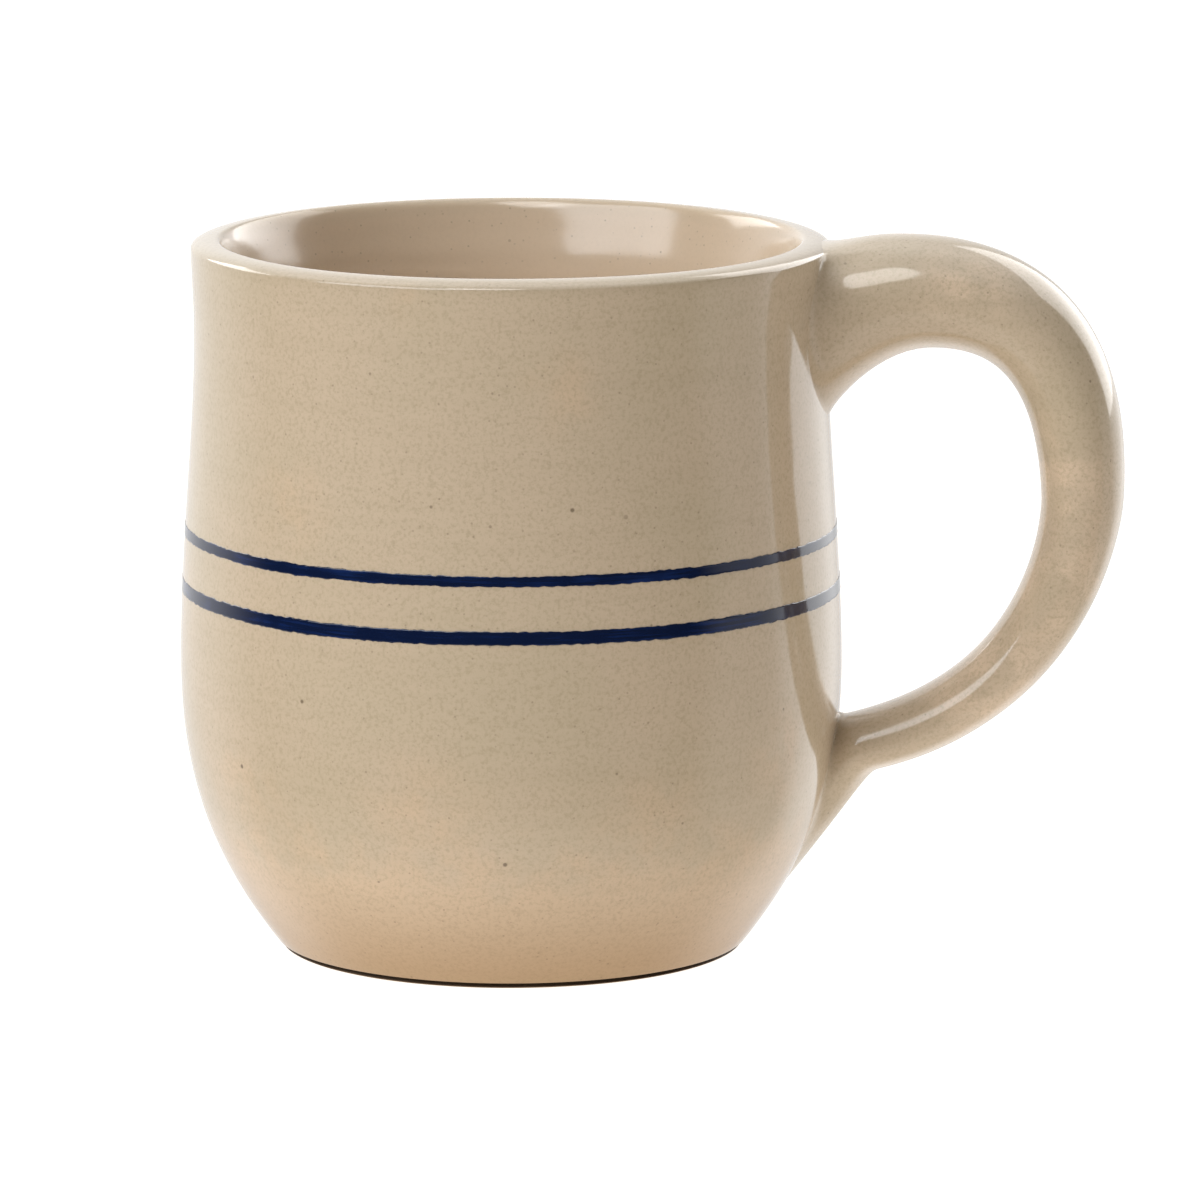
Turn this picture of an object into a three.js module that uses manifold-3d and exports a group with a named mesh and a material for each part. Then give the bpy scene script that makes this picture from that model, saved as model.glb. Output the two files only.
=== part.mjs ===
// Stoneware mug: a thrown clay body and a pulled clay handle, luted together at two joints,
// under an inside glaze, an outside glaze and a handle glaze, with two blue bands in the outside glaze.
// Millimetres, +Z up. The origin is on the mug's axis at the foot, and the handle points along +X.

import * as THREE from 'three';
import { mergeVertices } from 'three/addons/utils/BufferGeometryUtils.js';
import Module from 'manifold-3d';

// Body, measured over the glaze
const MUG_HEIGHT = 95;
const FOOT_RADIUS = 31.2;
const FOOT_SLOPE_DEGREES = 51.4;
const FOOT_CURVE_REACH = 15.3;
const FOOT_CHAMFER = 0.7;
const BELLY_RADIUS = 44.45;
const BELLY_HEIGHT = 38.5;
const BELLY_REACH_DOWN = 15.6;
const BELLY_REACH_UP = 15;
const WAIST_INSET = 2.1;
const WAIST_BELOW_RIM = 11;
const WAIST_REACH_DOWN = 15;
const WAIST_REACH_UP = 3;
const RIM_INSET = 1.8;
const LIP_THICKNESS = 4.7;
const WALL_THICKNESS = 4.8;
const FLOOR_THICKNESS = 7;
const INSIDE_WALL_REACH = 25.5;
const INSIDE_FLOOR_REACH = 37;

// Glaze coats
const GLAZE_THICKNESS = 0.6;
const GLAZE_LINE_HEIGHT = 1.6;
const BOND_GAP = 0.05;

// Blue bands
const BAND_DEPTH = 0.25;
const LOWER_BAND_HEIGHT = 49.2;
const LOWER_BAND_WIDTH = 1.9;
const BAND_SPACING = 7.35;
const UPPER_BAND_WIDTH = 1.5;

// Handle, measured over the glaze: its centreline, and its section from the upper root to the lower one
const HANDLE_PROJECTION = 31.95;
const HANDLE_OUT_HEIGHT = 61.5;
const OUT_REACH_UP = 30.3;
const OUT_REACH_DOWN = 2.8;
const UPPER_ROOT_BELOW_RIM = 7.9;
const UPPER_ROOT_DEGREES = 13.1;
const UPPER_ROOT_REACH = 14;
const LOWER_ROOT_HEIGHT = 26.9;
const LOWER_ROOT_DEGREES = 10.1;
const LOWER_ROOT_REACH = 31;
const UPPER_THICKNESS = 16.8;
const LOWER_THICKNESS = 8.2;
const UPPER_WIDTH = 20;
const LOWER_WIDTH = 13;
const TAPER_POWER = 1.5;

// Joints: each root flares over a run about a middle, which lies inside the wall, and holds a tenon
const UPPER_FLARE_MIDDLE = -1;
const UPPER_FLARE_RUN = 5;
const UPPER_SIDE_FLARE = 5.2;
const UPPER_THROAT_FLARE = 9;
const UPPER_TOP_DROP = 2.6;
const UPPER_TENON_TAPER = 4;
const LOWER_FLARE_MIDDLE = -2.3;
const LOWER_FLARE_RUN = 4;
const LOWER_SIDE_FLARE = 3;
const LOWER_CREASE_FLARE = 1.2;
const LOWER_HEEL_FLARE = 11;
const LOWER_TENON_TAPER = 2;
const SLIP_BED = 1.4;
const CLEARANCE = 0.3;

// How far the handle's surface runs on inside the wall, and the fineness of the facets
const UPPER_ROOT_DEPTH = 8;
const LOWER_ROOT_DEPTH = 11;
const TURN_SEGMENTS = 40;
const HANDLE_SIDES = 12;
const HANDLE_STEPS = 44;
const FOOT_STEPS = 6;
const WALL_STEPS = 5;
const WAIST_STEPS = 2;
const HALF_LIP_STEPS = 3;
const INSIDE_WALL_STEPS = 3;
const INSIDE_FLOOR_STEPS = 8;
const BISECTIONS = 40;
const MERGE_DISTANCE = 1e-4;

const wasm = await Module();
wasm.setup();

// The outline of the glazed mug, in radius and height

const WAIST_HEIGHT = MUG_HEIGHT - WAIST_BELOW_RIM;
const WAIST_RADIUS = BELLY_RADIUS - WAIST_INSET;
const RIM_RADIUS = BELLY_RADIUS - RIM_INSET;
const LIP_HALF = LIP_THICKNESS / 2;
const LIP_HEIGHT = MUG_HEIGHT - LIP_HALF;
const CROWN_RADIUS = RIM_RADIUS - LIP_HALF;
const LIP_SEAM = BOND_GAP / (LIP_HALF * Math.PI / 2);
const CLAY_INSET = GLAZE_THICKNESS + BOND_GAP;
const UPPER_BAND_HEIGHT = LOWER_BAND_HEIGHT + BAND_SPACING;

const foot = new THREE.Vector2(FOOT_RADIUS, 0);
const belly = new THREE.Vector2(BELLY_RADIUS, BELLY_HEIGHT);
const waist = new THREE.Vector2(WAIST_RADIUS, WAIST_HEIGHT);
const lipOutside = new THREE.Vector2(RIM_RADIUS, LIP_HEIGHT);
const lipInside = new THREE.Vector2(RIM_RADIUS - LIP_THICKNESS, LIP_HEIGHT);
const insideBelly = new THREE.Vector2(BELLY_RADIUS - WALL_THICKNESS, BELLY_HEIGHT);
const insideFloor = new THREE.Vector2(0, FLOOR_THICKNESS);

function away(point, degrees, reach) {
  const angle = THREE.MathUtils.degToRad(degrees);
  return new THREE.Vector2(point.x + reach * Math.cos(angle), point.y + reach * Math.sin(angle));
}

function above(point, rise) {
  return new THREE.Vector2(point.x, point.y + rise);
}

const footToBelly = new THREE.CubicBezierCurve(
  foot,
  away(foot, FOOT_SLOPE_DEGREES, FOOT_CURVE_REACH),
  above(belly, -BELLY_REACH_DOWN),
  belly,
);
const bellyToWaist = new THREE.CubicBezierCurve(
  belly,
  above(belly, BELLY_REACH_UP),
  above(waist, -WAIST_REACH_DOWN),
  waist,
);
const waistToLip = new THREE.CubicBezierCurve(
  waist,
  above(waist, WAIST_REACH_UP),
  above(lipOutside, -WAIST_REACH_UP),
  lipOutside,
);
const outerLip = new THREE.EllipseCurve(CROWN_RADIUS, LIP_HEIGHT, LIP_HALF, LIP_HALF, 0, Math.PI / 2);
const innerLip = new THREE.EllipseCurve(CROWN_RADIUS, LIP_HEIGHT, LIP_HALF, LIP_HALF, Math.PI / 2, Math.PI);
const lipToInside = new THREE.CubicBezierCurve(
  lipInside,
  above(lipInside, -BELLY_REACH_UP),
  above(insideBelly, BELLY_REACH_UP),
  insideBelly,
);
const insideToFloor = new THREE.CubicBezierCurve(
  insideBelly,
  above(insideBelly, -INSIDE_WALL_REACH),
  away(insideFloor, 0, INSIDE_FLOOR_REACH),
  insideFloor,
);

function parameterAtHeight(curve, height) {
  let low = 0;
  let high = 1;
  for (let i = 0; i < BISECTIONS; i += 1) {
    const middle = (low + high) / 2;
    if (curve.getPoint(middle).y < height) {
      low = middle;
    } else {
      high = middle;
    }
  }
  return (low + high) / 2;
}

function outsideCurveAt(height) {
  if (height < BELLY_HEIGHT) {
    return footToBelly;
  }
  return height < WAIST_HEIGHT ? bellyToWaist : waistToLip;
}

// A point of the outline moved along the surface's normal, outwards for a positive distance
function offsetPoint(curve, t, distance) {
  const point = curve.getPoint(t);
  const tangent = curve.getTangent(t);
  return new THREE.Vector2(point.x + tangent.y * distance, point.y - tangent.x * distance);
}

function wallPoint(height, distance) {
  const curve = outsideCurveAt(height);
  return offsetPoint(curve, parameterAtHeight(curve, height), distance);
}

// Stations along one curve from a start parameter, leaving out the start itself unless it is asked for
function stations(curve, steps, distance, from = 0, withStart = false) {
  const points = withStart ? [offsetPoint(curve, from, distance)] : [];
  for (let i = 1; i <= steps; i += 1) {
    points.push(offsetPoint(curve, from + ((1 - from) * i) / steps, distance));
  }
  return points;
}

const GLAZE_LINE = parameterAtHeight(footToBelly, GLAZE_LINE_HEIGHT);

// The outside from the glaze line to the lip's crown
function outsideOutline(distance) {
  return [
    ...stations(footToBelly, FOOT_STEPS, distance, GLAZE_LINE, true),
    ...stations(bellyToWaist, WALL_STEPS, distance),
    ...stations(waistToLip, WAIST_STEPS, distance),
    ...stations(outerLip, HALF_LIP_STEPS, distance),
  ];
}

// The inside from the seam of the two coats on the lip's crown to the middle of the floor
function insideOutline(distance) {
  const floor = stations(insideToFloor, INSIDE_FLOOR_STEPS, distance);
  floor[floor.length - 1].x = 0;
  return [
    ...stations(innerLip, HALF_LIP_STEPS, distance, LIP_SEAM, true),
    ...stations(lipToInside, INSIDE_WALL_STEPS, distance),
    ...floor,
  ];
}

// Solids

function closedGeometry(geometry) {
  geometry.deleteAttribute('normal');
  geometry.deleteAttribute('uv');
  const merged = mergeVertices(geometry, MERGE_DISTANCE);
  const index = merged.getIndex().array;
  const kept = [];
  for (let i = 0; i < index.length; i += 3) {
    const [a, b, c] = [index[i], index[i + 1], index[i + 2]];
    if (a !== b && b !== c && c !== a) {
      kept.push(a, b, c);
    }
  }
  merged.setIndex(kept);
  return merged;
}

function solidFrom(geometry) {
  const closed = closedGeometry(geometry);
  const vertProperties = Float32Array.from(closed.getAttribute('position').array);
  const triVerts = Uint32Array.from(closed.getIndex().array);
  return new wasm.Manifold(new wasm.Mesh({ numProp: 3, vertProperties, triVerts }));
}

function geometryFrom(solid) {
  const mesh = solid.getMesh();
  const geometry = new THREE.BufferGeometry();
  geometry.setAttribute('position', new THREE.BufferAttribute(mesh.vertProperties, 3));
  geometry.setIndex(new THREE.BufferAttribute(mesh.triVerts, 1));
  geometry.computeVertexNormals();
  return geometry;
}

function turned(profile) {
  const geometry = new THREE.LatheGeometry(profile, TURN_SEGMENTS);
  geometry.rotateX(Math.PI / 2);
  return solidFrom(geometry);
}

// A ring's profile closes on itself
function turnedRing(profile) {
  return turned([...profile, profile[0].clone()]);
}

// The clay's underside and outside, up to the lip's crown, with the foot's edge chamfered
function clayOutside(distance) {
  const footEdge = offsetPoint(footToBelly, 0, distance);
  return [
    new THREE.Vector2(0, 0),
    new THREE.Vector2(footEdge.x - FOOT_CHAMFER, 0),
    footEdge,
    ...outsideOutline(distance),
  ];
}

function throwBody() {
  const inside = insideOutline(-CLAY_INSET);
  inside.shift();
  return turned([...clayOutside(-CLAY_INSET), ...inside]);
}

// Everything that the body takes up at a distance from its clay, with the space above the crown
function bodyEnvelope(distance) {
  const outside = clayOutside(distance - CLAY_INSET);
  const crown = outside[outside.length - 1];
  return turned([
    ...outside,
    new THREE.Vector2(crown.x, crown.y + MUG_HEIGHT),
    new THREE.Vector2(0, crown.y + MUG_HEIGHT),
  ]);
}

function bandProfile(height, width, distance) {
  const low = height - width / 2 - distance;
  const high = height + width / 2 + distance;
  const depth = -BAND_DEPTH - distance;
  return [wallPoint(low, 0), wallPoint(low, depth), wallPoint(high, depth), wallPoint(high, 0)];
}

function brushBand(height, width) {
  return turnedRing(bandProfile(height, width, 0).reverse());
}

// The outside coat has a groove for each band
function coatOutside() {
  const skin = outsideOutline(0);
  const grooves = [
    bandProfile(LOWER_BAND_HEIGHT, LOWER_BAND_WIDTH, BOND_GAP),
    bandProfile(UPPER_BAND_HEIGHT, UPPER_BAND_WIDTH, BOND_GAP),
  ];
  for (const groove of grooves) {
    const bottom = groove[0].y;
    const top = groove[groove.length - 1].y;
    const below = skin.filter((point) => point.y < bottom - BOND_GAP);
    const over = skin.filter((point) => point.y > top + BOND_GAP);
    skin.splice(0, skin.length, ...below, ...groove, ...over);
  }
  const back = outsideOutline(-GLAZE_THICKNESS).reverse();
  return turnedRing([...skin, ...back]);
}

function coatInside() {
  const back = insideOutline(-GLAZE_THICKNESS).reverse();
  return turned([...back, ...insideOutline(0)]);
}

// Handle

const upperRoot = wallPoint(MUG_HEIGHT - UPPER_ROOT_BELOW_RIM, 0);
const lowerRoot = wallPoint(LOWER_ROOT_HEIGHT, 0);
const handleOut = new THREE.Vector2(BELLY_RADIUS + HANDLE_PROJECTION, HANDLE_OUT_HEIGHT);

const handlePath = new THREE.CurvePath();
handlePath.add(new THREE.CubicBezierCurve(
  upperRoot,
  away(upperRoot, UPPER_ROOT_DEGREES, UPPER_ROOT_REACH),
  above(handleOut, OUT_REACH_UP),
  handleOut,
));
handlePath.add(new THREE.CubicBezierCurve(
  handleOut,
  above(handleOut, -OUT_REACH_DOWN),
  away(lowerRoot, LOWER_ROOT_DEGREES, LOWER_ROOT_REACH),
  lowerRoot,
));
const HANDLE_LENGTH = handlePath.getLength();

// The centreline's point and direction at a distance from the upper root, straight on past either root
function handleStation(distance) {
  const t = THREE.MathUtils.clamp(distance / HANDLE_LENGTH, 0, 1);
  const tangent = handlePath.getTangent(t).normalize();
  const past = distance - t * HANDLE_LENGTH;
  return { point: handlePath.getPoint(t).addScaledVector(tangent, past), tangent, t };
}

// The share of a root's flare at a distance from it: none along the handle, all of it deep inside the wall
function flareShare(distance, middle, run) {
  return (1 - Math.tanh((distance - middle) / run)) / 2;
}

// The section's half sizes: outwards from the loop, inwards, and to either side
function handleSection(distance, t, offset, tenon) {
  const taper = (1 - t) ** TAPER_POWER;
  const halfThickness = THREE.MathUtils.lerp(LOWER_THICKNESS, UPPER_THICKNESS, taper) / 2 + offset;
  const halfWidth = THREE.MathUtils.lerp(LOWER_WIDTH, UPPER_WIDTH, taper) / 2 + offset;
  const upper = flareShare(distance, UPPER_FLARE_MIDDLE, UPPER_FLARE_RUN);
  const lower = flareShare(HANDLE_LENGTH - distance, LOWER_FLARE_MIDDLE, LOWER_FLARE_RUN);
  if (tenon) {
    const cut = UPPER_TENON_TAPER * upper + LOWER_TENON_TAPER * lower;
    return { outward: halfThickness - cut, inward: halfThickness - cut, side: halfWidth - cut };
  }
  return {
    outward: halfThickness - UPPER_TOP_DROP * upper + LOWER_HEEL_FLARE * lower,
    inward: halfThickness + UPPER_THROAT_FLARE * upper + LOWER_CREASE_FLARE * lower,
    side: halfWidth + UPPER_SIDE_FLARE * upper + LOWER_SIDE_FLARE * lower,
  };
}

// A cylinder bent along the centreline, each of its rings given the section at its station
function handleSolid(offset, tenon = false) {
  const geometry = new THREE.CylinderGeometry(1, 1, 1, HANDLE_SIDES, HANDLE_STEPS);
  const position = geometry.getAttribute('position');
  const span = UPPER_ROOT_DEPTH + HANDLE_LENGTH + LOWER_ROOT_DEPTH;
  for (let i = 0; i < position.count; i += 1) {
    const distance = (0.5 - position.getY(i)) * span - UPPER_ROOT_DEPTH;
    const { point, tangent, t } = handleStation(distance);
    const section = handleSection(distance, t, offset, tenon);
    const across = position.getZ(i);
    const lift = across * (across > 0 ? section.outward : section.inward);
    position.setXYZ(
      i,
      point.x - tangent.y * lift,
      position.getX(i) * section.side,
      point.y + tangent.x * lift,
    );
  }
  return solidFrom(geometry);
}

// Half of space, above or below the handle's outermost point, for telling the two joints apart
function halfSpace(sign) {
  const size = 2 * (MUG_HEIGHT + HANDLE_LENGTH);
  const geometry = new THREE.BoxGeometry(size, size, size);
  geometry.translate(0, 0, HANDLE_OUT_HEIGHT + (sign * size) / 2);
  return solidFrom(geometry);
}

function pullHandle(clearance) {
  return handleSolid(clearance - CLAY_INSET, true).subtract(bodyEnvelope(SLIP_BED - clearance));
}

function luteJoint(sign) {
  return handleSolid(-CLAY_INSET)
    .intersect(halfSpace(sign))
    .subtract(bodyEnvelope(CLEARANCE))
    .subtract(pullHandle(CLEARANCE));
}

function coatHandle() {
  return handleSolid(0)
    .subtract(handleSolid(-GLAZE_THICKNESS))
    .subtract(bodyEnvelope(CLEARANCE));
}

// The place that the coats leave free round the handle's roots, down to the clay
const handleOpening = handleSolid(CLEARANCE).subtract(bodyEnvelope(0));

// Finishes

function finish(color, roughness) {
  return new THREE.MeshStandardMaterial({ color, roughness, metalness: 0 });
}

const bareClay = () => finish('#a58a6c', 0.9);
const oatmealGlaze = () => finish('#bda98c', 0.25);
const blueGlaze = () => finish('#12254a', 0.3);

// Assembly

const mug = new THREE.Group();

function place(name, solid, material) {
  const mesh = new THREE.Mesh(geometryFrom(solid), material);
  mesh.name = name;
  mug.add(mesh);
}

place('thrown_body', throwBody(), bareClay());
place('handle', pullHandle(0), bareClay());
place('upper_handle_joint', luteJoint(1), bareClay());
place('lower_handle_joint', luteJoint(-1), bareClay());
place('inside_glaze', coatInside().subtract(handleOpening), oatmealGlaze());
place('outside_glaze', coatOutside().subtract(handleOpening), oatmealGlaze());
place('handle_glaze', coatHandle(), oatmealGlaze());
place('upper_blue_band', brushBand(UPPER_BAND_HEIGHT, UPPER_BAND_WIDTH), blueGlaze());
place('lower_blue_band', brushBand(LOWER_BAND_HEIGHT, LOWER_BAND_WIDTH), blueGlaze());

export default mug;
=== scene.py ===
import math

import bmesh
import bpy
from bpy.props import FloatProperty, FloatVectorProperty, IntProperty, PointerProperty
from bpy.types import Operator, Panel, PropertyGroup
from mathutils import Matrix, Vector


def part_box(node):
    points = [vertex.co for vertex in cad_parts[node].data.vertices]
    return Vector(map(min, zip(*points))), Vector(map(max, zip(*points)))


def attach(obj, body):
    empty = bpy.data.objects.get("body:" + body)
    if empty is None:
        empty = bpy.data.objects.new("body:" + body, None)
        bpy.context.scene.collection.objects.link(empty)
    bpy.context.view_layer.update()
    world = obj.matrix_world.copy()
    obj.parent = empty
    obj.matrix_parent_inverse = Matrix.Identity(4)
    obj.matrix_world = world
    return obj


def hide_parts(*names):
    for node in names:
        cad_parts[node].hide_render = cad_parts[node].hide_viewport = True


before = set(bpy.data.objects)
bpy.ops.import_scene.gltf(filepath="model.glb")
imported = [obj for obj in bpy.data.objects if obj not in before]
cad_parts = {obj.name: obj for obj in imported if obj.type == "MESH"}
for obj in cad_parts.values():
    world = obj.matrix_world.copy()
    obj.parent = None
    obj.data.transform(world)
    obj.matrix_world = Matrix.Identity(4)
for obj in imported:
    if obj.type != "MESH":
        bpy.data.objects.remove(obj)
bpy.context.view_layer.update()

bl_info = {
    "name": "Stoneware Mug",
    "version": (1, 0, 0),
    "blender": (4, 5, 0),
    "location": "3D View > Sidebar > Mug",
    "description": "Throws, bands, handles and glazes a stoneware mug over its clay frame",
    "category": "Add Mesh",
}

MM = 0.001
WALL_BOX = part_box("outside_glaze")
MERGE_DISTANCE = 1e-7


# Settings

def length(name, description, millimetres):
    """A length that a user sees in scene units"""
    return FloatProperty(
        name=name, description=description, default=millimetres * MM,
        subtype="DISTANCE", unit="LENGTH", precision=5,
    )


def tilt(name, description, degrees):
    """An angle that a user sees in degrees"""
    return FloatProperty(
        name=name, description=description, default=math.radians(degrees), subtype="ANGLE", unit="ROTATION",
    )


def colour(name, description, red, green, blue):
    """A colour given as 8-bit display values"""
    return FloatVectorProperty(
        name=name, description=description, default=[linear(c) for c in (red, green, blue)],
        subtype="COLOR", size=3, min=0, max=1,
    )


def pulls(name, description, outer, side, inner):
    """Three shares of a blend's length: at a root's outer end, its sides and its inner end"""
    return FloatVectorProperty(
        name=name, description=description, default=(outer, side, inner), size=3, min=0, max=1,
    )


def linear(value):
    """One 8-bit display value as linear light"""
    share = value / 255
    if share <= 0.04045:
        return share / 12.92
    return ((share + 0.055) / 1.055) ** 2.4


class MugWallSettings(PropertyGroup):
    """The thrown wall, measured over the glaze"""

    height: length("Height", "Foot to lip", WALL_BOX[1][2] / MM)
    foot_radius: length("Foot radius", "Radius where the wall meets the table", 31.2)
    foot_slope: tilt("Foot slope", "Angle at which the wall leaves the table", 51.4)
    foot_reach: length("Foot reach", "Pull of the foot's slope on the wall", 15.3)
    belly_radius: length("Belly radius", "Radius at the widest place", WALL_BOX[1][1] / MM)
    belly_height: length("Belly height", "Height of the widest place", 38.5)
    belly_reach_down: length("Belly reach down", "Pull of the belly on the wall below it", 15.6)
    belly_reach_up: length("Belly reach up", "Pull of the belly on the wall above it", 15.0)
    waist_inset: length("Waist inset", "How much narrower the waist is than the belly", 2.1)
    waist_below_rim: length("Waist below rim", "Depth of the waist under the lip", 11.0)
    waist_reach: length("Waist reach", "Pull of the waist on the lip", 3.0)
    rim_inset: length("Rim inset", "How much narrower the rim is than the belly", 1.8)
    lip_drop: length("Lip drop", "Depth under the rim's height at which the lip starts to round", 0.8)
    crown_inset: length("Crown inset", "How far in from the rim's outside the lip is highest", 3.3)
    crown_rise: length("Crown rise", "How far the crown stands above the rim's height", 0.4)
    lip_turn: length("Lip turn", "How tightly the crown turns down into the cup", 1.4)
    lip_flare: length("Lip flare", "Depth over which the inside of the lip falls away to the wall", 7.0)
    lip_step: length("Lip step", "How far in from the crown the inside of the lip ends", 2.9)
    lip_ease: length("Lip ease", "How gently the inside of the lip runs on into the wall", 8.0)
    wall_thickness: length("Wall thickness", "Thickness at the belly", 4.8)
    floor_thickness: length("Floor thickness", "Thickness of the cup's bottom", 7.0)
    inside_wall_reach: length("Inside wall reach", "Pull of the inside wall on the floor's curve", 25.5)
    inside_floor_reach: length("Inside floor reach", "Pull of the floor on the wall's curve", 37.0)
    glaze_thickness: length("Glaze thickness", "Thickness of the coat", 0.6)
    bond: length("Bond", "Gap between coat and clay", 0.05)
    glaze_line: length("Glaze line", "Height at which the coat ends above the table", 0.75)
    foot_round: length("Foot round", "Rounding of the bare foot's edge", 0.24)
    ring_height: length("Throwing ring height", "Height of the finger ridges inside the cup", 0.05)
    unevenness: length("Unevenness", "How far the coat dips below a true round", 0.14)
    segments: IntProperty(name="Segments", description="Steps round the mug", default=160, min=24)


class MugHandleSettings(PropertyGroup):
    """The pulled handle, measured over the glaze"""

    projection: length("Projection", "Distance of the centreline from the belly at its farthest", 31.95)
    out_height: length("Out height", "Height at which the handle stands out farthest", 61.5)
    out_reach_up: length("Out reach up", "Pull of the outermost point on the arch above", 30.3)
    out_reach_down: length("Out reach down", "Pull of the outermost point on the tail below", 2.8)
    upper_below_rim: length("Upper root below rim", "Depth of the upper root's centre under the lip", 7.9)
    upper_rise: tilt("Upper rise", "Angle at which the handle leaves the wall", 13.1)
    upper_reach: length("Upper reach", "Pull of the upper root on the arch", 14.0)
    lower_height: length("Lower root height", "Height of the lower root's centre", 26.9)
    lower_rise: tilt("Lower rise", "Angle at which the tail leaves the wall", 10.1)
    lower_reach: length("Lower reach", "Pull of the lower root on the tail", 31.0)
    upper_thickness: length("Upper thickness", "Thickness of the strap at its upper root", 16.8)
    lower_thickness: length("Lower thickness", "Thickness of the strap at its lower root", 8.2)
    upper_width: length("Upper width", "Width of the strap at its upper root", 20.0)
    lower_width: length("Lower width", "Width of the strap at its lower root", 13.0)
    taper_power: FloatProperty(
        name="Taper", description="How soon the strap thins out", default=1.5, min=0.1,
    )
    unevenness: length("Unevenness", "How far the strap dips below a true oval", 0.2)
    sides: IntProperty(name="Sides", description="Steps round the strap", default=64, min=12)


class MugUpperRootSettings(PropertyGroup):
    """Where the strap spreads into the wall under the lip; its outer end is the upper one"""

    widest: length("Widest", "Height at which the root is widest", 84.0)
    outer_reach: length("Outer reach", "Along the wall from the widest place to the lip's crown", 13.4)
    inner_reach: length("Inner reach", "Along the wall from the widest place to the throat", 12.5)
    half_width: length("Half width", "Half of the root's width on the wall", 14.0)
    outer_start: length("Outer start", "Run of the strap's outer side before it spreads", 9.5)
    inner_start: length("Inner start", "Run of the strap's inner side before it spreads", 14.0)
    wall_pull: pulls("Wall pull", "How long the blend keeps to the wall", 0.35, 0.28, 0.1)
    strap_pull: pulls("Strap pull", "How long the blend keeps to the strap", 0.42, 0.46, 0.42)


class MugLowerRootSettings(PropertyGroup):
    """Where the strap spreads into the wall at its tail; its outer end is the heel"""

    widest: length("Widest", "Height at which the root is widest", 20.0)
    outer_reach: length("Outer reach", "Along the wall from the widest place to the end of the heel", 14.9)
    inner_reach: length("Inner reach", "Along the wall from the widest place to the crease", 12.0)
    half_width: length("Half width", "Half of the root's width on the wall", 7.2)
    outer_start: length("Outer start", "Run of the strap's outer side before it spreads", 5.0)
    inner_start: length("Inner start", "Run of the strap's inner side before it spreads", 2.6)
    wall_pull: pulls("Wall pull", "How long the blend keeps to the wall", 0.72, 0.4, 0.1)
    strap_pull: pulls("Strap pull", "How long the blend keeps to the strap", 0.08, 0.35, 0.45)


class MugBandSettings(PropertyGroup):
    """The two brushed bands"""

    lower_height: length("Lower band height", "Height of the wider band's middle", 49.2)
    lower_width: length("Lower band width", "Width of the wider band", 1.9)
    spacing: length("Spacing", "Distance between the bands", 7.35)
    upper_width: length("Upper band width", "Width of the narrower band", 1.5)
    depth: length("Depth", "How deep the colour lies in the coat", 0.25)
    proud: length("Proud", "How far the colour stands over the coat", 0.03)
    rag: length("Ragged edge", "How far the brush strays at the edges", 0.4)
    wander: length("Wander", "How far the whole line strays", 0.35)
    segments: IntProperty(name="Segments", description="Steps round the mug", default=720, min=48)


class MugFinishSettings(PropertyGroup):
    """The colours of clay, glaze and bands"""

    oatmeal: colour("Oatmeal", "The glaze's main colour", 197, 178, 153)
    oatmeal_cool: colour("Cool oatmeal", "Where the glaze lies thick", 192, 175, 149)
    blush: colour("Blush", "Peach flashes in the glaze", 206, 180, 150)
    # Partly painted light: besides peach flashes, this paler colour lightens the handle where light falls
    # on the strap
    pale_blush_and_painted_light: colour("Pale blush", "Flashes on the handle, where the coat lies thin", 232, 206, 178)
    # Partly painted light: besides the poured coat's own tone, this lighter colour brightens the inside of
    # the cup
    inside: colour("Inside", "The coat that was poured into the cup", 226, 202, 174)
    lip_tint: colour("Lip tint", "Where the glaze runs thin over the lip", 164, 148, 120)
    # Painted shade: this colour darkens the wall towards the foot, where less light comes up from the table
    painted_foot_shade: colour("Foot tint", "Where the glaze runs thin at the foot", 162, 132, 98)
    iron: colour("Iron", "The specks", 92, 76, 58)
    clay: colour("Clay", "Bare fired clay", 176, 146, 112)
    toasted_clay: colour("Toasted clay", "Darker patches of the bare clay", 142, 112, 80)
    # Partly painted shadow: besides toasted clay, this dark edge stands in for the contact shade along the
    # foot
    burnt_edge_and_contact_shade: colour("Burnt edge", "Bare clay along the edge of the glaze", 46, 32, 18)
    cobalt: colour("Cobalt", "The bands where the brush was full", 9, 22, 52)
    thin_cobalt: colour("Thin cobalt", "The bands where the brush was dry", 22, 48, 104)


class MugStageSettings(PropertyGroup):
    """Camera and studio"""

    distance: length("Camera distance", "Camera to the middle of the mug", 1100.0)
    elevation: tilt("Elevation", "Height of the camera as an angle", 10.36)
    azimuth: tilt("Azimuth", "Turn of the camera towards the handle", 5.0)
    aim_right: length("Aim right", "Camera's aim to the right of the axis", 11.88)
    aim_up: length("Aim up", "Camera's aim above the middle", -1.29)
    lens: FloatProperty(name="Lens", description="Focal length in millimetres", default=245.88, min=1)


# Outline of the glazed mug, in radius and height

WALL_STEPS = 40
WAIST_STEPS = 8
LIP_STEPS = 14
INSIDE_STEPS = 44
QUARTER = 0.5523    # pull of a cubic that follows a quarter of an ellipse
CROWN_PULL = 0.8    # share of the lip's turn over which the crown stays level


def cubic(a, b, c, d, t):
    s = 1 - t
    return a * s ** 3 + b * (3 * s * s * t) + c * (3 * s * t * t) + d * t ** 3


def sample(curve, steps):
    """Points along a cubic, without its start"""
    return [cubic(*curve, i / steps) for i in range(1, steps + 1)]


def arc(centre, radius, start, end, steps):
    """Points along an arc, without its start"""
    angles = [start + (end - start) * i / steps for i in range(1, steps + 1)]
    return [centre + radius * Vector((math.cos(a), math.sin(a))) for a in angles]


def crown_of(wall):
    """The highest point of the lip"""
    rim_radius = wall.belly_radius - wall.rim_inset
    return Vector((rim_radius - wall.crown_inset, wall.height + wall.crown_rise))


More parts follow.
